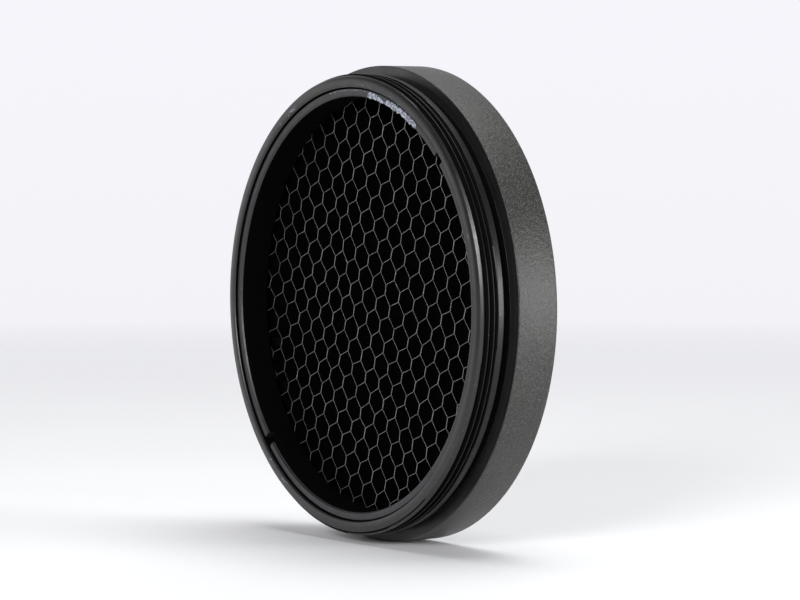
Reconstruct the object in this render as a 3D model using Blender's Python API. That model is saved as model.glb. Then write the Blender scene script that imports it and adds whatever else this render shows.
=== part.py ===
"""Threaded honeycomb grid: a black anodised housing ring with a male front thread, a slotted retaining ring
screwed into its bore, and an expanded honeycomb core made of corrugated foil ribbons.

Metres, +Z up. The axis of the rings is Y and the threaded front faces -Y. The origin is on that axis, in the
plane of the shoulder that stops the thread. The part stands on its rim.
"""

import math

import bmesh
import bpy
from mathutils import Matrix, Vector

MM = 0.001
SEGMENTS = 72

# Male thread on the front of the housing
THREAD_RADIUS = 27.5 * MM
THREAD_PITCH = 0.75 * MM
THREAD_DEPTH = 0.54 * THREAD_PITCH
CREST_WIDTH = THREAD_PITCH / 8
ROOT_WIDTH = THREAD_PITCH / 4
CREST_PHASE = 0.18
FRONT_LENGTH = 4.5 * MM
FRONT_CHAMFER = 0.5 * MM
THREAD_END = -2.1 * MM
LAND_END = -1.37 * MM
NECK_FRONT = -1.2 * MM
NECK_RADIUS = 26.8 * MM

# Plain body behind the shoulder
BODY_RADIUS = 28.5 * MM
BODY_LENGTH = 5.5 * MM
SHOULDER_BREAK = 0.12 * MM
REAR_CHAMFER = 0.25 * MM

# Bore and its rear lip
BORE_RADIUS = 25.85 * MM
BORE_CHAMFER = 0.35 * MM
LIP_RADIUS = 24.8 * MM
LIP_THICKNESS = 1.35 * MM
LIP_CHAMFER = 0.2 * MM

# Pieces inside the bore
CLEARANCE = 0.3 * MM
RING_INNER_RADIUS = 24.8 * MM
RING_RECESS = 0.35 * MM
RING_CHAMFER = 0.2 * MM
NOTCH_WIDTH = 1.5 * MM
NOTCH_DEPTH = 1.2 * MM
NOTCH_ANGLE = math.radians(43.5)
CORE_FRONT = -0.08 * MM

# Expanded foil core: cells measured across the ribbons and along them
CELL_WIDTH = 2.966 * MM
HALF_PERIOD = 2.265 * MM
BOND_LENGTH = 1.24 * MM
FOIL_THICKNESS = 0.1 * MM
BOND_GAP = 0.04 * MM
CORE_ANGLE = math.radians(15.55)
CELL_CENTRE = (1.124 * MM, -0.2075 * MM)
FEWEST_FOLDS = 6

FRONT_Y = -FRONT_LENGTH
LIP_FRONT = BODY_LENGTH - LIP_THICKNESS
CORE_BACK = LIP_FRONT - CLEARANCE
CORE_RADIUS = BORE_RADIUS - CLEARANCE
RING_FRONT = FRONT_Y + RING_RECESS
RING_BACK = CORE_FRONT - CLEARANCE
MERGE = 0.001 * MM


def clear_scene():
    for old in list(bpy.data.objects):
        bpy.data.objects.remove(old)


def anodised(name, colour, roughness):
    material = bpy.data.materials.new(name)
    material.use_nodes = True
    shader = material.node_tree.nodes["Principled BSDF"]
    shader.inputs["Base Color"].default_value = (*colour, 1.0)
    shader.inputs["Metallic"].default_value = 0.6
    shader.inputs["Roughness"].default_value = roughness
    return material


def new_object(name, mesh_builder, material, parent=None):
    mesh_builder.normal_update()
    mesh = bpy.data.meshes.new(name)
    mesh_builder.to_mesh(mesh)
    mesh_builder.free()
    part = bpy.data.objects.new(name, mesh)
    bpy.context.scene.collection.objects.link(part)
    part.parent = parent
    if material:
        mesh.materials.append(material)
    return part


def joint_empty(name, parent=None):
    empty = bpy.data.objects.new(name, None)
    bpy.context.scene.collection.objects.link(empty)
    empty.parent = parent
    return empty


def polar(turn, y, radius):
    """Point at a fraction of a turn from +Z towards +X, which is right-handed about +Y."""
    angle = math.tau * turn
    return Vector((radius * math.sin(angle), y, radius * math.cos(angle)))


def thread_radius(phase):
    """Radius of the thread at a fraction of the pitch, counted from the middle of a crest."""
    from_crest = abs((phase + 0.5) % 1.0 - 0.5) * THREAD_PITCH
    flank = (THREAD_PITCH - CREST_WIDTH - ROOT_WIDTH) / 2
    drop = min(max((from_crest - CREST_WIDTH / 2) / flank, 0.0), 1.0)
    return THREAD_RADIUS - drop * THREAD_DEPTH


def thread_column(turn):
    """Points along the thread at one turn fraction: rows follow the helix and stop at the thread's two ends."""
    breaks = (
        -CREST_WIDTH / 2,
        CREST_WIDTH / 2,
        (THREAD_PITCH - ROOT_WIDTH) / 2,
        (THREAD_PITCH + ROOT_WIDTH) / 2,
    )
    turns = math.ceil((THREAD_END - FRONT_Y) / THREAD_PITCH) + 2
    first_crest = FRONT_Y + (turn - 2 + CREST_PHASE) * THREAD_PITCH
    snap = 0.04 * MM
    column = []
    for crest in range(turns + 1):
        for offset in breaks:
            y = first_crest + crest * THREAD_PITCH + offset
            if y < FRONT_Y + snap:
                y = FRONT_Y
            if y > THREAD_END - snap:
                y = THREAD_END
            cone = THREAD_RADIUS - FRONT_CHAMFER + (y - FRONT_Y)
            ramp = THREAD_RADIUS + (y - THREAD_END)
            phase = (y - first_crest) / THREAD_PITCH
            column.append((y, max(min(thread_radius(phase), cone), ramp)))
    return column


def housing_profile():
    """The rest of the housing's section as (y, radius), from the end of the thread round to the front face."""
    return [
        (LAND_END, THREAD_RADIUS),
        (NECK_FRONT, NECK_RADIUS),
        (0.0, NECK_RADIUS),
        (0.0, BODY_RADIUS - SHOULDER_BREAK),
        (SHOULDER_BREAK, BODY_RADIUS),
        (BODY_LENGTH - REAR_CHAMFER, BODY_RADIUS),
        (BODY_LENGTH, BODY_RADIUS - REAR_CHAMFER),
        (BODY_LENGTH, LIP_RADIUS + LIP_CHAMFER),
        (BODY_LENGTH - LIP_CHAMFER, LIP_RADIUS),
        (LIP_FRONT, LIP_RADIUS),
        (LIP_FRONT, BORE_RADIUS),
        (FRONT_Y + BORE_CHAMFER, BORE_RADIUS),
        (FRONT_Y, BORE_RADIUS + BORE_CHAMFER),
    ]


def skin_columns(columns):
    """Closed ring from columns of points: each joins the next, and each column's last point joins its first."""
    builder = bmesh.new()
    grid = [[builder.verts.new(point) for point in column] for column in columns]
    count = len(grid[0])
    for left, right in zip(grid, grid[1:]):
        for row in range(count):
            after = (row + 1) % count
            builder.faces.new((left[row], left[after], right[after], right[row]))
    bmesh.ops.remove_doubles(builder, verts=builder.verts, dist=MERGE)
    bmesh.ops.dissolve_degenerate(builder, edges=builder.edges, dist=MERGE)
    bmesh.ops.recalc_face_normals(builder, faces=builder.faces)
    return builder


def smooth_round(part):
    part.data.shade_smooth()
    part.data.set_sharp_from_angle(angle=math.radians(30))


def make_housing(material):
    columns = []
    for step in range(SEGMENTS + 1):
        turn = step / SEGMENTS
        section = thread_column(turn) + housing_profile()
        columns.append([polar(turn, y, radius) for y, radius in section])
    smooth_round(new_object("housing", skin_columns(columns), material))


def make_retaining_ring(material, turning):
    outer = BORE_RADIUS - CLEARANCE
    section = [
        (RING_FRONT, RING_INNER_RADIUS + RING_CHAMFER),
        (RING_FRONT, outer - RING_CHAMFER),
        (RING_FRONT + RING_CHAMFER, outer),
        (RING_BACK, outer),
        (RING_BACK, RING_INNER_RADIUS),
        (RING_FRONT + RING_CHAMFER, RING_INNER_RADIUS),
    ]
    columns = [
        [polar(step / SEGMENTS, y, radius) for y, radius in section]
        for step in range(SEGMENTS + 1)
    ]
    ring = new_object("retaining_ring", skin_columns(columns), material, turning)
    smooth_round(ring)
    cut = ring.modifiers.new("spanner_notches", "BOOLEAN")
    cut.operation = "DIFFERENCE"
    cut.object = notch_cutter(turning)


def notch_cutter(turning):
    """Bar across the whole front of the ring, so one cut leaves two opposite spanner notches."""
    builder = bmesh.new()
    bmesh.ops.create_cube(builder, size=1.0)
    size = (2.2 * BORE_RADIUS, 2 * NOTCH_DEPTH, NOTCH_WIDTH)
    bmesh.ops.transform(builder, matrix=Matrix.Diagonal((*size, 1.0)), verts=builder.verts)
    cutter = new_object("notch_cutter", builder, None, turning)
    cutter.location = (0.0, RING_FRONT, 0.0)
    cutter.rotation_euler = (0.0, -NOTCH_ANGLE, 0.0)
    cutter.hide_render = True
    cutter.display_type = "WIRE"
    return cutter


def ribbon_path(index):
    """Corrugated centreline of one ribbon across the core's square, as points (across, along)."""
    inset = (FOIL_THICKNESS + BOND_GAP) / 2
    near = CELL_CENTRE[0] + index * CELL_WIDTH / 2 + inset
    far = CELL_CENTRE[0] + (index + 1) * CELL_WIDTH / 2 - inset
    reach = math.ceil(CORE_RADIUS / HALF_PERIOD) + 1
    path = []
    for flat in range(-reach, reach + 1):
        across = far if (flat + index) % 2 == 0 else near
        middle = CELL_CENTRE[1] + flat * HALF_PERIOD
        path.append(Vector((across, middle - BOND_LENGTH / 2)))
        path.append(Vector((across, middle + BOND_LENGTH / 2)))
    return path


def circle_crossings(start, end, radius):
    """Where the segment crosses the circle about the axis, as sorted fractions of its length."""
    step = end - start
    a, b, c = step.dot(step), 2 * start.dot(step), start.dot(start) - radius * radius
    spread = b * b - 4 * a * c
    if spread <= 0:
        return []
    roots = [(-b - math.sqrt(spread)) / (2 * a), (-b + math.sqrt(spread)) / (2 * a)]
    return [root for root in roots if 0 < root < 1]


def longest_run_inside(path, radius):
    """The longest stretch of the path that stays inside the circle."""
    runs, run = [], []
    for start, end in zip(path, path[1:]):
        marks = [0.0, *circle_crossings(start, end, radius), 1.0]
        for low, high in zip(marks, marks[1:]):
            middle = start.lerp(end, (low + high) / 2)
            if middle.length < radius:
                run = run or [start.lerp(end, low)]
                run.append(start.lerp(end, high))
            elif run:
                runs.append(run)
                run = []
    if run:
        runs.append(run)
    return max(runs, key=len, default=[])


def offset_sides(path, half):
    """Both faces of a foil that follows the path, mitred at its folds."""
    sides = ([], [])
    for number, point in enumerate(path):
        before = (point - path[number - 1]).normalized() if number else None
        after = (path[number + 1] - point).normalized() if number + 1 < len(path) else None
        normals = [Vector((-way.y, way.x)) for way in (before, after) if way]
        mitre = sum(normals, Vector((0.0, 0.0))).normalized()
        reach = half / mitre.dot(normals[0])
        sides[0].append(point + mitre * reach)
        sides[1].append(point - mitre * reach)
    return sides


def make_ribbon(name, path, material, sliding):
    """One foil as a corrugated strip standing on edge, from the front of the core to its back."""
    left, right = offset_sides(path, FOIL_THICKNESS / 2)
    builder = bmesh.new()
    rings = []
    for one, other in zip(left, right):
        corners = ((one, CORE_FRONT), (other, CORE_FRONT), (other, CORE_BACK), (one, CORE_BACK))
        rings.append([builder.verts.new((point.x, y, point.y)) for point, y in corners])
    for first, second in zip(rings, rings[1:]):
        for corner in range(4):
            after = (corner + 1) % 4
            builder.faces.new((first[corner], first[after], second[after], second[corner]))
    builder.faces.new(rings[0])
    builder.faces.new(reversed(rings[-1]))
    bmesh.ops.recalc_face_normals(builder, faces=builder.faces)
    ribbon = new_object(name, builder, material, sliding)
    ribbon.rotation_euler = (0.0, CORE_ANGLE, 0.0)


def make_core(material, sliding):
    reach = math.ceil(2 * CORE_RADIUS / CELL_WIDTH) + 1
    number = 1
    edge = CORE_RADIUS - FOIL_THICKNESS / 2
    for index in range(-reach, reach + 1):
        path = longest_run_inside(ribbon_path(index), edge)
        if len(path) > FEWEST_FOLDS:
            make_ribbon(f"foil_ribbon_{number:02d}", path, material, sliding)
            number += 1


def main():
    clear_scene()
    housing_black = anodised("housing_black", (0.022, 0.023, 0.025), 0.5)
    ring_black = anodised("ring_black", (0.02, 0.02, 0.022), 0.42)
    foil_black = anodised("foil_black", (0.012, 0.012, 0.013), 0.55)
    core_slide = joint_empty("core_slide")
    ring_turn = joint_empty("ring_turn", core_slide)
    make_housing(housing_black)
    make_retaining_ring(ring_black, ring_turn)
    make_core(foil_black, core_slide)


main()
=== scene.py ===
"""Looks of the threaded honeycomb grid: turned and bead-blasted black anodised rings round a core of bonded
foil ribbons, on a pale floor in soft studio light."""

import math
import random

import bmesh
import bpy
import numpy as np
from mathutils import Matrix, Vector, noise


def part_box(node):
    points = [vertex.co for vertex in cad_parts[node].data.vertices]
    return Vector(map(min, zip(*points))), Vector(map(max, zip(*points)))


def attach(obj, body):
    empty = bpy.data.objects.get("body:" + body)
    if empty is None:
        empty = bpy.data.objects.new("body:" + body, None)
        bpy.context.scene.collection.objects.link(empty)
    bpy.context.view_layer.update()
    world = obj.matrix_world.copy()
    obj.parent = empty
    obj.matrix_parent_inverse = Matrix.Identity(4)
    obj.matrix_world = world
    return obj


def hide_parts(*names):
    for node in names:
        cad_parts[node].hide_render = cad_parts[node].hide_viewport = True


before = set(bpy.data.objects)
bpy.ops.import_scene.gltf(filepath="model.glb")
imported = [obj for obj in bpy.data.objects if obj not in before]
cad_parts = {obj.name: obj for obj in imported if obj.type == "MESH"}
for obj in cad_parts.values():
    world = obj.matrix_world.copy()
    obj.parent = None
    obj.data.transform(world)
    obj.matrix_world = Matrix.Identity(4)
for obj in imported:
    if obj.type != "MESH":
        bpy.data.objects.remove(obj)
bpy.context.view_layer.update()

MM = 0.001
SEED = 7
STEPS = 360

# Sizes that repeat the CAD design
THREAD_RADIUS = 27.5 * MM
THREAD_PITCH = 0.75 * MM
THREAD_DEPTH = 0.54 * THREAD_PITCH
CREST_PHASE = 0.18
THREAD_END = -2.1 * MM
LAND_END = -1.37 * MM
NECK_FRONT = -1.2 * MM
NECK_RADIUS = 26.8 * MM
BORE_RADIUS = 25.85 * MM
LIP_RADIUS = 24.8 * MM
LIP_THICKNESS = 1.35 * MM
RING_INNER_RADIUS = 24.8 * MM
NOTCH_WIDTH = 1.5 * MM
NOTCH_DEPTH = 1.2 * MM
NOTCH_ANGLE = math.radians(43.5)
CELL_WIDTH = 2.966 * MM
HALF_PERIOD = 2.265 * MM
BOND_LENGTH = 1.24 * MM
CORE_ANGLE = math.radians(15.55)
CELL_CENTRE = (1.124 * MM, -0.2075 * MM)

# Details drawn finer than the CAD has them: the front rim, the bore's edge and the foil
FACE_RADIUS = 26.5 * MM
RIM_RADIUS = 27.0 * MM
LEAD_DEPTH = 0.1 * MM
BORE_CHAMFER = 0.2 * MM
FOIL_THICKNESS = 0.055 * MM
BOND_GAP = 0.012 * MM
EASING = 0.08 * MM
ROWS_PER_PITCH = 14

# Planes and radii read from the frame
FRONT_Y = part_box("housing")[0].y
REAR_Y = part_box("housing")[1].y
BODY_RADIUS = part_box("housing")[1].z
RING_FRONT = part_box("retaining_ring")[0].y
RING_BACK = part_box("retaining_ring")[1].y
RING_OUTER_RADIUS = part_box("retaining_ring")[1].z
CORE_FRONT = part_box("foil_ribbon_17")[0].y
CORE_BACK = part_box("foil_ribbon_17")[1].y
FLOOR_Z = -BODY_RADIUS
FLOOR_SOLID = 0.1
FLOOR_GONE = 0.55
BACKDROP_DIRECTION = (-0.83, 0.56, 0.0)


# ---------------------------------------------------------------- mesh helpers

def mesh_piece(name, vertices, faces, materials, body, replaced=(), choice=None):
    """A mesh object that rides on a body; choice gives each face its material's number."""
    mesh = bpy.data.meshes.new(name)
    mesh.from_pydata([tuple(v) for v in vertices], [], faces)
    if choice is not None:
        mesh.polygons.foreach_set("material_index", choice)
    for material in materials:
        mesh.materials.append(material)
    piece = bpy.data.objects.new(name, mesh)
    bpy.context.scene.collection.objects.link(piece)
    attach(piece, body)
    if replaced:
        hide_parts(*replaced)
    return piece


def clean(piece, sharp_degrees=None):
    """Merges doubled points, points the faces out and shades smooth across the shallow angles."""
    builder = bmesh.new()
    builder.from_mesh(piece.data)
    bmesh.ops.remove_doubles(builder, verts=builder.verts, dist=0.001 * MM)
    bmesh.ops.dissolve_degenerate(builder, edges=builder.edges, dist=0.001 * MM)
    bmesh.ops.recalc_face_normals(builder, faces=builder.faces)
    builder.to_mesh(piece.data)
    builder.free()
    if sharp_degrees:
        piece.data.shade_smooth()
        piece.data.set_sharp_from_angle(angle=math.radians(sharp_degrees))


def face_out(piece):
    """Points every face away from the inside of its piece."""
    builder = bmesh.new()
    builder.from_mesh(piece.data)
    bmesh.ops.recalc_face_normals(builder, faces=builder.faces)
    builder.to_mesh(piece.data)
    builder.free()


def polar(turn, y, radius):
    angle = math.tau * turn
    return (radius * math.sin(angle), y, radius * math.cos(angle))


def rounded(corners, steps=4):
    """The (y, radius) section with its inner corners eased; a corner is (y, radius, size of the easing)."""
    points = [Vector((y, radius)) for y, radius, _ in corners]
    section = [points[0]]
    for before, here, after, (_, _, size) in zip(points, points[1:], points[2:], corners[1:]):
        if not size:
            section.append(here)
            continue
        reach = min(size, (here - before).length * 0.45, (after - here).length * 0.45)
        start = here + (before - here).normalized() * reach
        end = here + (after - here).normalized() * reach
        for step in range(steps + 1):
            along = step / steps
            section.append(start.lerp(here, along).lerp(here.lerp(end, along), along))
    section.append(points[-1])
    return [(point.x, point.y) for point in section]


def lathe_faces(columns, rows):
    """Quads between each pair of columns, with each column's last point joined to its first."""
    faces = []
    for column in range(columns - 1):
        for row in range(rows):
            after = (row + 1) % rows
            left, right = column * rows, (column + 1) * rows
            faces.append((left + row, left + after, right + after, right + row))
    return faces


# ------------------------------------------------------------------- materials

class Nodes:
    """Short names for building a node tree."""

    def __init__(self, name):
        self.material = bpy.data.materials.new(name)
        self.material.use_nodes = True
        self.tree = self.material.node_tree
        self.shader = self.tree.nodes["Principled BSDF"]
        self.coordinates = self.tree.nodes.new("ShaderNodeTexCoord").outputs["Object"]

    def link(self, output, target):
        self.tree.links.new(output, target)

    def math(self, operation, first, second=None):
        node = self.tree.nodes.new("ShaderNodeMath")
        node.operation = operation
        for socket, value in zip(node.inputs, (first, second)):
            if isinstance(value, (int, float)):
                socket.default_value = value
            elif value is not None:
                self.link(value, socket)
        return node.outputs[0]

    def turned(self, across, around):
        """Coordinates that run fast across the tool marks and slowly round the axis."""
        parts = self.tree.nodes.new("ShaderNodeSeparateXYZ")
        self.link(self.coordinates, parts.inputs[0])
        x, y, z = parts.outputs
        square = self.math("ADD", self.math("MULTIPLY", x, x), self.math("MULTIPLY", z, z))
        radius = self.math("SQRT", square)
        joined = self.tree.nodes.new("ShaderNodeCombineXYZ")
        self.link(self.math("MULTIPLY", self.math("ADD", radius, y), across), joined.inputs[0])
        self.link(self.math("MULTIPLY", self.math("SUBTRACT", radius, y), across), joined.inputs[1])
        self.link(self.math("MULTIPLY", self.math("ARCTAN2", x, z), around), joined.inputs[2])
        return joined.outputs[0]

    def noise(self, vector, scale, detail=2.0, roughness=0.5):
        node = self.tree.nodes.new("ShaderNodeTexNoise")
        node.inputs["Scale"].default_value = scale
        node.inputs["Detail"].default_value = detail
        node.inputs["Roughness"].default_value = roughness
        self.link(vector, node.inputs["Vector"])
        return node.outputs["Fac"]

    def span(self, value, low, high, to_low, to_high):
        node = self.tree.nodes.new("ShaderNodeMapRange")
        for number, amount in zip((1, 2, 3, 4), (low, high, to_low, to_high)):
            node.inputs[number].default_value = amount
        self.link(value, node.inputs[0])
        return node.outputs[0]

    def mix(self, factor, first, second):
        node = self.tree.nodes.new("ShaderNodeMix")
        node.data_type = "RGBA"
        self.link(factor, node.inputs[0])
        for socket, colour in ((node.inputs[6], first), (node.inputs[7], second)):
            if isinstance(colour, tuple):
                socket.default_value = (*colour, 1.0)
            else:
                self.link(colour, socket)
        return node.outputs[2]

    def bump(self, height, distance, strength=1.0, under=None):
        node = self.tree.nodes.new("ShaderNodeBump")
        node.inputs["Strength"].default_value = strength
        node.inputs["Distance"].default_value = distance
        self.link(height, node.inputs["Height"])
        if under:
            self.link(under, node.inputs["Normal"])
        return node.outputs[0]

    def finish(self, colour, roughness, normal, metallic=0.0, specular=0.5, coat=0.0):
        self.link(colour, self.shader.inputs["Base Color"])
        self.link(roughness, self.shader.inputs["Roughness"])
        self.link(normal, self.shader.inputs["Normal"])
        self.shader.inputs["Metallic"].default_value = metallic
        self.shader.inputs["Specular IOR Level"].default_value = specular
        self.shader.inputs["Coat Weight"].default_value = coat
        return self.material


def blasted_anodise():
    """Plain body: bead-blasted, so a fine pebbled grain under a dull black anodise."""
    nodes = Nodes("blasted_anodise")
    grain = nodes.noise(nodes.coordinates, 4600.0, 3.0, 0.65)
    pits = nodes.noise(nodes.coordinates, 2100.0, 2.0, 0.5)
    cloud = nodes.noise(nodes.coordinates, 160.0, 3.0, 0.5)
    tone = nodes.mix(nodes.span(cloud, 0.3, 0.7, 0.0, 1.0), (0.011, 0.011, 0.0105), (0.018, 0.0178, 0.0165))
    tone = nodes.mix(nodes.span(grain, 0.48, 0.68, 0.0, 0.9), tone, (0.066, 0.064, 0.058))
    roughness = nodes.span(grain, 0.25, 0.75, 0.38, 0.56)
    normal = nodes.bump(grain, 0.05 * MM, 0.8)
    normal = nodes.bump(pits, 0.07 * MM, 0.8, normal)
    return nodes.finish(tone, roughness, normal, 0.0, 0.5)


def turned_anodise(name, dark, light, gloss, specular=0.5):
    """Machined faces: rings left by the tool, under black anodise, a little brighter where it has rubbed."""
    nodes = Nodes(name)
    lines = nodes.noise(nodes.turned(9000.0, 3.0), 1.0, 3.0, 0.6)
    broad = nodes.noise(nodes.turned(2500.0, 1.5), 1.0, 2.0, 0.5)
    cloud = nodes.noise(nodes.coordinates, 330.0, 4.0, 0.6)
    rubbed = nodes.noise(nodes.coordinates, 2600.0, 4.0, 0.7)
    tone = nodes.mix(nodes.span(broad, 0.35, 0.7, 0.0, 1.0), dark, light)
    tone = nodes.mix(nodes.span(rubbed, 0.62, 0.74, 0.0, 0.7), tone, (0.09, 0.09, 0.095))
    roughness = nodes.span(cloud, 0.3, 0.7, gloss - 0.06, gloss + 0.08)
    normal = nodes.bump(lines, 0.012 * MM, 0.6)
    normal = nodes.bump(nodes.noise(nodes.coordinates, 4200.0, 2.0, 0.5), 0.012 * MM, 0.5, normal)
    return nodes.finish(tone, roughness, normal, 0.0, specular)


def black_painted_shade(name, dark, light, bump_scale):
    """Near-black for faces in deep recesses: the real black finish darkened far past its own colour as
    painted shade, with a faint cloudiness.
    """
    nodes = Nodes(name)
    cloud = nodes.noise(nodes.coordinates, 900.0, 3.0, 0.6)
    tone = nodes.mix(cloud, dark, light)
    roughness = nodes.span(cloud, 0.3, 0.7, 0.6, 0.8)
    normal = nodes.bump(nodes.noise(nodes.coordinates, bump_scale, 2.0, 0.5), 0.01 * MM, 0.4)
    return nodes.finish(tone, roughness, normal, 0.0, 0.02)


def foil_edge():
    """Cut edges of the foil: grey where the saw has left bare metal through the coating, with near-white
    flecks that are partly bare metal and partly painted glints.
    """
    nodes = Nodes("foil_edge")
    wear = nodes.noise(nodes.coordinates, 420.0, 4.0, 0.65)
    bare_metal_and_glint = nodes.noise(nodes.coordinates, 1500.0, 2.0, 0.5)
    tone = nodes.mix(nodes.span(wear, 0.35, 0.68, 0.0, 1.0), (0.13, 0.13, 0.132), (0.26, 0.26, 0.26))
    # Near-white flecks: bare metal, and painted glints of the lights.
    tone = nodes.mix(nodes.span(bare_metal_and_glint, 0.66, 0.78, 0.0, 0.8), tone, (0.8, 0.8, 0.79))
    roughness = nodes.span(bare_metal_and_glint, 0.3, 0.7, 0.3, 0.5)
    normal = nodes.bump(bare_metal_and_glint, 0.02 * MM, 0.6)
    return nodes.finish(tone, roughness, normal, 0.35, 0.5)


def adhesive_with_painted_sheen():
    """Thread lock dried on the seam: a clear bluish film; its milky flecks are partly the film's own colour
    and partly a painted reflection of the lights.
    """
    nodes = Nodes("adhesive_with_painted_sheen")
    milky_sheen = nodes.noise(nodes.coordinates, 2600.0, 3.0, 0.7)
    # Milky bluish-white flecks: partly the film's own colour, partly a painted reflection of the lights.
    tone = nodes.mix(nodes.span(milky_sheen, 0.42, 0.62, 0.0, 1.0), (0.03, 0.033, 0.05), (0.42, 0.46, 0.58))
    roughness = nodes.span(milky_sheen, 0.3, 0.7, 0.12, 0.35)
    normal = nodes.bump(milky_sheen, 0.03 * MM, 0.7)
    return nodes.finish(tone, roughness, normal, 0.0, 0.5, 0.6)


# ---------------------------------------------------------------- housing skin

def thread_radius(phase):
    """Radius of the thread, with worn corners, at a phase in pitches from the middle of a crest."""
    def plain(at):
        from_crest = abs((at + 0.5) % 1.0 - 0.5)
        return min(max((from_crest - 1 / 16) / (5 / 16), 0.0), 1.0)

    worn = 0.018
    drop = (plain(phase - worn) + plain(phase) + plain(phase + worn)) / 3
    return THREAD_RADIUS - drop * THREAD_DEPTH


def lead_radius(depth):
    """Radius of the 45 degree lead-in chamfer in front of the thread, at a depth behind the front face."""
    return RIM_RADIUS + depth


def thread_column(turn):
    start = FRONT_Y + LEAD_DEPTH
    turns = math.ceil((THREAD_END - FRONT_Y) / THREAD_PITCH) + 2
    first_crest = FRONT_Y + (turn - 2 + CREST_PHASE) * THREAD_PITCH
    column = []
    for row in range(turns * ROWS_PER_PITCH + 1):
        y = first_crest + row / ROWS_PER_PITCH * THREAD_PITCH
        y = start if y < start + 0.01 * MM else y
        y = THREAD_END if y > THREAD_END - 0.01 * MM else y
        cone = lead_radius(y - FRONT_Y)
        ramp = THREAD_RADIUS + (y - THREAD_END)
        phase = (y - first_crest) / THREAD_PITCH
        column.append((y, max(min(thread_radius(phase), cone), ramp)))
    return column


def housing_section():
    lip_front = REAR_Y - LIP_THICKNESS
    return rounded(
        [
            (THREAD_END + 0.02 * MM, THREAD_RADIUS, 0),
            (LAND_END, THREAD_RADIUS, EASING),
            (NECK_FRONT, NECK_RADIUS, EASING),
            (0.0, NECK_RADIUS, EASING),
            (0.0, BODY_RADIUS, 0.16 * MM),
            (REAR_Y, BODY_RADIUS, 0.3 * MM),
            (REAR_Y, LIP_RADIUS, 0.25 * MM),
            (lip_front, LIP_RADIUS, EASING),
            (lip_front, BORE_RADIUS, EASING),
            (FRONT_Y + BORE_CHAMFER, BORE_RADIUS, EASING),
            (FRONT_Y, BORE_RADIUS + BORE_CHAMFER, EASING),
            (FRONT_Y, FACE_RADIUS, 0.15 * MM),
            (FRONT_Y + LEAD_DEPTH, lead_radius(LEAD_DEPTH), 0),
        ]
    )


def housing_zone(y, radius):
    """Material number at a spot: 0 faces, 1 blasted body, 2 bore in black with painted shade, 3 grooves and
    neck in painted shade, 4 crests and land in a darker, shaded copy of the turned anodise.
    """
    depth = y - FRONT_Y
    if radius < BORE_RADIUS + 0.05 * MM and depth > BORE_CHAMFER:
        return 2
    if y > 0.02 * MM and radius > THREAD_RADIUS:
        return 1
    if y > -0.02 * MM or depth < LEAD_DEPTH or radius > lead_radius(depth) - 0.03 * MM:
        return 0
    return 3 if radius < THREAD_RADIUS - 0.05 * MM else 4


def make_housing(materials):
    vertices = []
    rest = housing_section()
    for step in range(STEPS + 1):
        turn = step / STEPS
        section = thread_column(turn) + rest
        vertices += [polar(turn, y, radius) for y, radius in section]
    faces = lathe_faces(STEPS + 1, len(section))
    piece = mesh_piece("housing_skin", vertices, faces, materials, "housing", ["housing"])
    clean(piece, 50)
    for face in piece.data.polygons:
        middle = face.center
        face.material_index = housing_zone(middle.y, math.hypot(middle.x, middle.z))


# --------------------------------------------------------------- retaining ring

def make_retaining_ring(turned, ring_black_and_shade):
    edge = 0.1 * MM
    outer = BORE_RADIUS - 0.12 * MM
    section = rounded(
        [
            (RING_FRONT + 0.6 * MM, RING_INNER_RADIUS, 0),
            (RING_FRONT + 0.2 * MM, RING_INNER_RADIUS, 0.05 * MM),
            (RING_FRONT, RING_INNER_RADIUS + 0.2 * MM, 0.05 * MM),
            (RING_FRONT, outer, edge),
            (RING_BACK, outer, edge),
            (RING_BACK, RING_INNER_RADIUS, edge),
            (RING_FRONT + 0.7 * MM, RING_INNER_RADIUS, 0),
        ]
    )
    vertices = []
    for step in range(STEPS + 1):
        vertices += [polar(step / STEPS, y, radius) for y, radius in section]
    faces = lathe_faces(STEPS + 1, len(section))
    piece = mesh_piece(
        "retaining_ring_skin", vertices, faces, [turned, ring_black_and_shade], "ring", ["retaining_ring"]
    )
    clean(piece)
    cut_notches(piece)
    for face in piece.data.polygons:
        # Faces behind the ring's front edge take the black darkened as painted shade.
        face.material_index = int(face.center.y > RING_FRONT + 0.25 * MM)
    piece.data.shade_smooth()
    piece.data.set_sharp_from_angle(angle=math.radians(40))


def cut_notches(piece):
    """Two opposite spanner notches, cut by a bar with rounded lower corners."""
    builder = bmesh.new()
    bmesh.ops.create_cube(builder, size=1.0)
    size = (2.2 * BORE_RADIUS, 2 * NOTCH_DEPTH, NOTCH_WIDTH)
    bmesh.ops.transform(builder, matrix=Matrix.Diagonal((*size, 1.0)), verts=builder.verts)
    lower = [
        edge for edge in builder.edges
        if all(vert.co.y > 0 for vert in edge.verts) and abs(edge.verts[0].co.x - edge.verts[1].co.x) > MM
    ]
    bmesh.ops.bevel(builder, geom=lower, offset=0.15 * MM, segments=4, affect="EDGES", profile=0.5)
    turn = Matrix.Translation((0.0, RING_FRONT, 0.0)) @ Matrix.Rotation(-NOTCH_ANGLE, 4, "Y")
    bmesh.ops.transform(builder, matrix=turn, verts=builder.verts)
    mesh = bpy.data.meshes.new("notch_bar")
    builder.to_mesh(mesh)
    builder.free()
    bar = bpy.data.objects.new("notch_bar", mesh)
    bpy.context.scene.collection.objects.link(bar)
    cut = piece.modifiers.new("notches", "BOOLEAN")
    cut.operation = "DIFFERENCE"
    cut.object = bar
    graph = bpy.context.evaluated_depsgraph_get()
    piece.data = bpy.data.meshes.new_from_object(piece.evaluated_get(graph))
    piece.modifiers.clear()
    bpy.data.objects.remove(bar)


# -------------------------------------------------------------- honeycomb core

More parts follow.
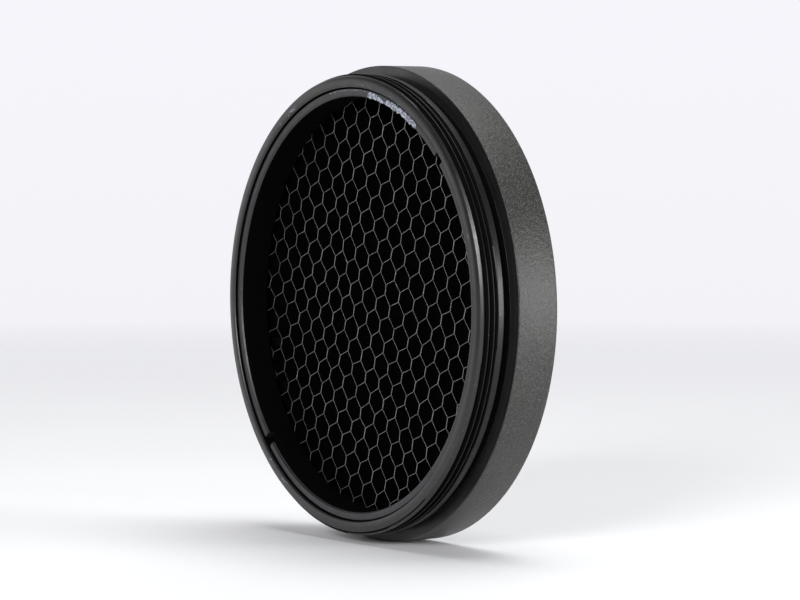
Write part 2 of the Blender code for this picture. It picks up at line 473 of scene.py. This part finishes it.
def fold_shift(line, flat, end, depth):
    """How far the real core strays from the ideal lattice at one fold; both bonded foils share it."""
    spot = Vector((line * 1.7, flat * 1.3 + end * 0.4, SEED))
    drift = noise.noise_vector(spot * 0.13) * 0.34
    twist = noise.noise_vector(spot * 2.3 + Vector((0, 0, 9))) * 0.13
    lean = noise.noise_vector(spot * 1.1 + Vector((5, 0, 20 + depth))) * 0.07
    return Vector(((drift + twist + lean).x, (drift + twist + lean).y)) * MM


def ribbon_path(index, depth):
    """Folded centreline of a ribbon as (across, along) points; depth runs from 0, front, to 1, back."""
    inset = (FOIL_THICKNESS + BOND_GAP) / 2
    reach = math.ceil(BORE_RADIUS / HALF_PERIOD) + 1
    path = []
    for flat in range(-reach, reach + 1):
        far = (flat + index) % 2 == 0
        line = index + 1 if far else index
        across = CELL_CENTRE[0] + line * CELL_WIDTH / 2 + (-inset if far else inset)
        middle = CELL_CENTRE[1] + flat * HALF_PERIOD
        for end in (-1, 1):
            shift = fold_shift(line, flat, end, depth)
            path.append(Vector((across, middle + end * BOND_LENGTH / 2)) + shift)
    return path


def soften(path):
    """Cuts each fold into a short curve and gives each wall points along it."""
    points = [path[0]]
    for before, here, after in zip(path, path[1:], path[2:]):
        crown = here.lerp(before, 0.03).lerp(here.lerp(after, 0.03), 0.5)
        points += [here.lerp(before, 0.09), crown, here.lerp(after, 0.09), here.lerp(after, 0.5)]
    points.append(path[-1])
    return points


def offset_points(points):
    """Unit normals of the path, turned to the left."""
    array = np.array([(p.x, p.y) for p in points])
    step = np.gradient(array, axis=0)
    step /= np.linalg.norm(step, axis=1)[:, None]
    return array, np.stack([-step[:, 1], step[:, 0]], axis=1)


def make_ribbon(name, index, materials, replaced):
    """One foil: its folded path at several depths, thickened, and kept where it lies inside the bore."""
    depths = (0.0, 0.08, 0.5, 1.0)
    limit = BORE_RADIUS - 0.35 * MM
    layers = []
    front = soften(ribbon_path(index, 0.0))
    inside = [p.length < limit for p in front]
    for depth in depths:
        centre, normal = offset_points(soften(ribbon_path(index, depth)))
        y = CORE_FRONT + depth * (CORE_BACK - CORE_FRONT)
        half = FOIL_THICKNESS / 2
        layers.append([(centre + normal * half, y), (centre - normal * half, y)])
    vertices, faces, choice = [], [], []
    number = {}

    def corner(layer, side, spot):
        key = (layer, side, spot)
        if key not in number:
            (points, y) = layers[layer][side]
            number[key] = len(vertices)
            vertices.append((points[spot][0], y, points[spot][1]))
        return number[key]

    last = len(depths) - 1
    kept = [all(inside[spot:spot + 2]) for spot in range(len(front) - 1)]
    for spot, keep in enumerate(kept):
        if not keep:
            continue
        after = spot + 1
        for layer in range(last):
            below = layer + 1
            patches = [
                ((layer, 0, spot), (layer, 0, after), (below, 0, after), (below, 0, spot)),
                ((layer, 1, after), (layer, 1, spot), (below, 1, spot), (below, 1, after)),
            ]
            if spot == 0 or not kept[spot - 1]:
                patches.append(((layer, 0, spot), (layer, 1, spot), (below, 1, spot), (below, 0, spot)))
            if after == len(kept) or not kept[after]:
                patches.append(((layer, 0, after), (layer, 1, after), (below, 1, after), (below, 0, after)))
            faces += [tuple(corner(*key) for key in patch) for patch in patches]
            choice += [0] * len(patches)
        for layer in (0, last):
            edge = ((layer, 0, spot), (layer, 1, spot), (layer, 1, after), (layer, 0, after))
            faces.append(tuple(corner(*key) for key in edge))
            choice.append(1)
    if not faces:
        return
    turn = Matrix.Rotation(CORE_ANGLE, 3, "Y")
    vertices = [turn @ Vector(v) for v in vertices]
    face_out(mesh_piece(name, vertices, faces, materials, "core", replaced, choice))


def ribbon_indices():
    """Node names by ribbon number, found from where each CAD node lies across the ribbons."""
    turn = Matrix.Rotation(-CORE_ANGLE, 3, "Y")
    found = {}
    for name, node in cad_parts.items():
        if name.startswith("foil_ribbon"):
            across = [(turn @ v.co).x for v in node.data.vertices]
            middle = (min(across) + max(across)) / 2
            found[round((middle - CELL_CENTRE[0]) / (CELL_WIDTH / 2) - 0.5)] = name
    return found


def make_core(materials):
    found = ribbon_indices()
    for index in range(min(found) - 1, max(found) + 2):
        node = found.get(index)
        side = "low" if index < 0 else "high"
        name = f"{node}_skin" if node else f"foil_stub_{side}"
        make_ribbon(name, index, materials, [node] if node else [])


# --------------------------------------------------------------- dried thread lock and painted sheen

# Each patch: name, body, plane, degrees round, radii and flake sizes in millimetres, count, share covered
# Every patch wears the bluish film, whose milky flecks are partly a painted reflection.
RESIDUE = (
    ("adhesive_film", "ring", RING_FRONT, (57, 81), (24.98, 25.45), (0.06, 0.2), 620, 0.45),
    ("adhesive_seam_right", "ring", RING_FRONT, (56, 100), (25.5, 25.66), (0.02, 0.05), 150, 0.2),
    ("adhesive_dots_right", "housing", FRONT_Y, (57, 90), (26.08, 26.3), (0.015, 0.045), 34, 0.1),
    ("adhesive_flecks_left", "housing", FRONT_Y, (116, 125), (26.1, 26.45), (0.02, 0.09), 44, 0.15),
    ("adhesive_flecks_low", "housing", FRONT_Y, (228, 244), (26.1, 26.45), (0.02, 0.07), 34, 0.1),
    ("adhesive_fleck_side", "housing", FRONT_Y, (18.5, 19.5), (26.3, 26.4), (0.05, 0.08), 3, 1.0),
)


def make_residue(name, body, plane, angles, radii, size, count, coverage, material):
    """Flakes of dried thread lock, with the film's painted reflection, scattered on a flat turned face;
    angles run from +X up towards +Z.
    """
    pick = random.Random(name)
    vertices, faces = [], []
    for _ in range(count):
        angle = math.radians(pick.uniform(*angles))
        radius = pick.uniform(*radii) * MM
        if noise.noise(Vector((angle * 9, radius / MM, SEED))) > coverage:
            continue
        middle = Vector((radius * math.cos(angle), plane, radius * math.sin(angle)))
        along = Vector((-math.sin(angle), 0, math.cos(angle)))
        out = Vector((math.cos(angle), 0, math.sin(angle)))
        sides = pick.randint(5, 8)
        reach = pick.uniform(*size) * MM
        start = len(vertices)
        tilt = Vector((0, 1, 0)) + along * pick.uniform(-0.35, 0.35) + out * pick.uniform(-0.35, 0.35)
        for level, shrink in ((0.0, 1.0), (0.4, 0.8)):
            for side in range(sides):
                around = math.tau * side / sides
                spoke = reach * shrink * pick.uniform(0.7, 1.2)
                flat = along * math.cos(around) * spoke * 1.7 + out * math.sin(around) * spoke
                lift = -(level * reach * 0.5 + 0.004 * MM) + flat.dot(tilt) * level * 0.5
                vertices.append(middle + flat + Vector((0, lift, 0)))
        for side in range(sides):
            after = (side + 1) % sides
            faces.append((start + side, start + after, start + sides + after, start + sides + side))
        faces.append(tuple(start + sides + side for side in range(sides)))
        faces.append(tuple(start + side for side in reversed(range(sides))))
    face_out(mesh_piece(name, vertices, faces, [material], body))


# ------------------------------------------------------------------------ stage

def make_floor():
    """White paper that melts into the backdrop further out."""
    nodes = Nodes("floor_paper")
    cloud = nodes.noise(nodes.coordinates, 30.0, 2.0, 0.5)
    tone = nodes.mix(cloud, (0.86, 0.865, 0.88), (0.88, 0.885, 0.90))
    roughness = nodes.span(cloud, 0.3, 0.7, 0.6, 0.7)
    normal = nodes.bump(nodes.noise(nodes.coordinates, 900.0, 2.0, 0.5), 0.02 * MM, 0.1)
    paper = nodes.finish(tone, roughness, normal, 0.0, 0.2)
    length = nodes.tree.nodes.new("ShaderNodeVectorMath")
    length.operation = "LENGTH"
    nodes.link(nodes.coordinates, length.inputs[0])
    near = nodes.span(length.outputs["Value"], FLOOR_SOLID, FLOOR_GONE, 1.0, 0.0)
    nodes.link(near, nodes.shader.inputs["Alpha"])
    mesh = bpy.data.meshes.new("floor")
    corners = [(x * FLOOR_GONE, y * FLOOR_GONE, FLOOR_Z) for x, y in ((-1, -1), (1, -1), (1, 1), (-1, 1))]
    mesh.from_pydata(corners, [], [(0, 1, 2, 3)])
    mesh.materials.append(paper)
    floor = bpy.data.objects.new("floor", mesh)
    bpy.context.scene.collection.objects.link(floor)


def softbox(name, toward, distance, size, power):
    light = bpy.data.lights.new(name, "AREA")
    light.shape = "RECTANGLE"
    light.size, light.size_y = size
    light.energy = power
    lamp = bpy.data.objects.new(name, light)
    direction = Vector(toward).normalized()
    lamp.location = direction * distance
    lamp.rotation_euler = direction.to_track_quat("Z", "Y").to_euler()
    bpy.context.scene.collection.objects.link(lamp)


def make_world():
    """White to the camera; to the object, a bright backdrop behind it and a dim room in front."""
    world = bpy.data.worlds.new("studio")
    bpy.context.scene.world = world
    world.use_nodes = True
    tree = world.node_tree
    direction = tree.nodes.new("ShaderNodeTexCoord").outputs["Generated"]

    def ramp(value, low, high, to_low, to_high):
        node = tree.nodes.new("ShaderNodeMapRange")
        node.interpolation_type = "SMOOTHSTEP"
        for number, amount in zip((1, 2, 3, 4), (low, high, to_low, to_high)):
            node.inputs[number].default_value = amount
        tree.links.new(value, node.inputs[0])
        return node.outputs[0]

    def mix(factor, first, second):
        node = tree.nodes.new("ShaderNodeMix")
        node.data_type = "RGBA"
        tree.links.new(factor, node.inputs[0])
        for socket, colour in ((node.inputs[6], first), (node.inputs[7], second)):
            if isinstance(colour, tuple):
                socket.default_value = (*colour, 1.0)
            else:
                tree.links.new(colour, socket)
        return node.outputs[2]

    parts = tree.nodes.new("ShaderNodeSeparateXYZ")
    tree.links.new(direction, parts.inputs[0])
    behind = tree.nodes.new("ShaderNodeVectorMath")
    behind.operation = "DOT_PRODUCT"
    behind.inputs[1].default_value = BACKDROP_DIRECTION
    tree.links.new(direction, behind.inputs[0])
    seen = mix(ramp(parts.outputs[2], -0.09, 0.05, 0.0, 1.0), (0.885, 0.885, 0.925), (0.915, 0.915, 0.965))
    lit = mix(ramp(behind.outputs["Value"], 0.35, 0.8, 0.0, 1.0), (0.06, 0.06, 0.065), (0.8, 0.8, 0.82))
    camera_ray = tree.nodes.new("ShaderNodeLightPath").outputs["Is Camera Ray"]
    tree.links.new(mix(camera_ray, lit, seen), tree.nodes["Background"].inputs["Color"])


def make_camera():
    azimuth, elevation = math.radians(55.88), math.radians(2.45)
    data = bpy.data.cameras.new("camera")
    data.sensor_width = 36.0
    data.lens = 157.5
    data.dof.use_dof = False
    camera = bpy.data.objects.new("camera", data)
    camera.location = (0.34858, -0.23316, 0.0184)
    forward = Vector((
        -math.sin(azimuth) * math.cos(elevation),
        math.cos(azimuth) * math.cos(elevation),
        -math.sin(elevation),
    ))
    camera.rotation_euler = forward.to_track_quat("-Z", "Y").to_euler()
    data.clip_start, data.clip_end = 0.01, 20.0
    bpy.context.scene.collection.objects.link(camera)
    bpy.context.scene.camera = camera


def make_lights():
    softbox("key_front", (0.54, -0.78, 0.32), 0.8, (0.24, 0.3), 5.0)
    softbox("key_right", (0.83, 0.56, 0.1), 0.5, (0.2, 0.16), 1.9)
    softbox("fill_left", (-0.83, -0.56, 0.15), 0.7, (0.4, 0.3), 0.45)
    softbox("top", (0.0, 0.15, 1.0), 0.7, (0.6, 0.5), 4.0)


# ------------------------------------------------------------------------- main

def main():
    bpy.context.scene.view_settings.view_transform = "Standard"
    make_camera()
    make_world()
    make_lights()
    make_floor()
    blasted = blasted_anodise()
    housing_turned = turned_anodise("housing_turned", (0.008, 0.008, 0.0085), (0.014, 0.014, 0.015), 0.34)
    ring_turned = turned_anodise("ring_turned", (0.008, 0.008, 0.0095), (0.015, 0.015, 0.0175), 0.38)
    # Bore and the ring's inner walls: black finish darkened far past its own colour as painted shade.
    bore_black_and_shade = black_painted_shade("bore_black_and_shade", (0.0015, 0.0015, 0.0018), (0.003, 0.003, 0.0034), 1800.0)
    # Foil walls: black coating darkened far past its own colour as painted shade inside the cells.
    foil_wall = black_painted_shade("foil_wall", (0.0008, 0.0008, 0.001), (0.0018, 0.0018, 0.002), 2600.0)
    # Thread grooves and neck: near-black painted shade on the same anodise as the crests.
    groove_painted_shade = black_painted_shade("groove_painted_shade", (0.002, 0.002, 0.0023), (0.004, 0.004, 0.0045), 1800.0)
    # Thread crests and land: a darker copy of the turned anodise, as painted shade.
    thread_shaded_dark, thread_shaded_light = (0.006, 0.006, 0.0065), (0.011, 0.011, 0.012)
    thread_turned_shaded = turned_anodise("thread_turned_shaded", thread_shaded_dark, thread_shaded_light, 0.34, 0.22)
    make_housing([housing_turned, blasted, bore_black_and_shade, groove_painted_shade, thread_turned_shaded])
    make_retaining_ring(ring_turned, bore_black_and_shade)
    make_core([foil_wall, foil_edge()])
    # Bluish film for the flakes: thread lock, with a painted reflection in its milky flecks.
    film_and_sheen = adhesive_with_painted_sheen()
    for name, body, plane, angles, radii, size, count, coverage in RESIDUE:
        make_residue(name, body, plane, angles, radii, size, count, coverage, film_and_sheen)


main()
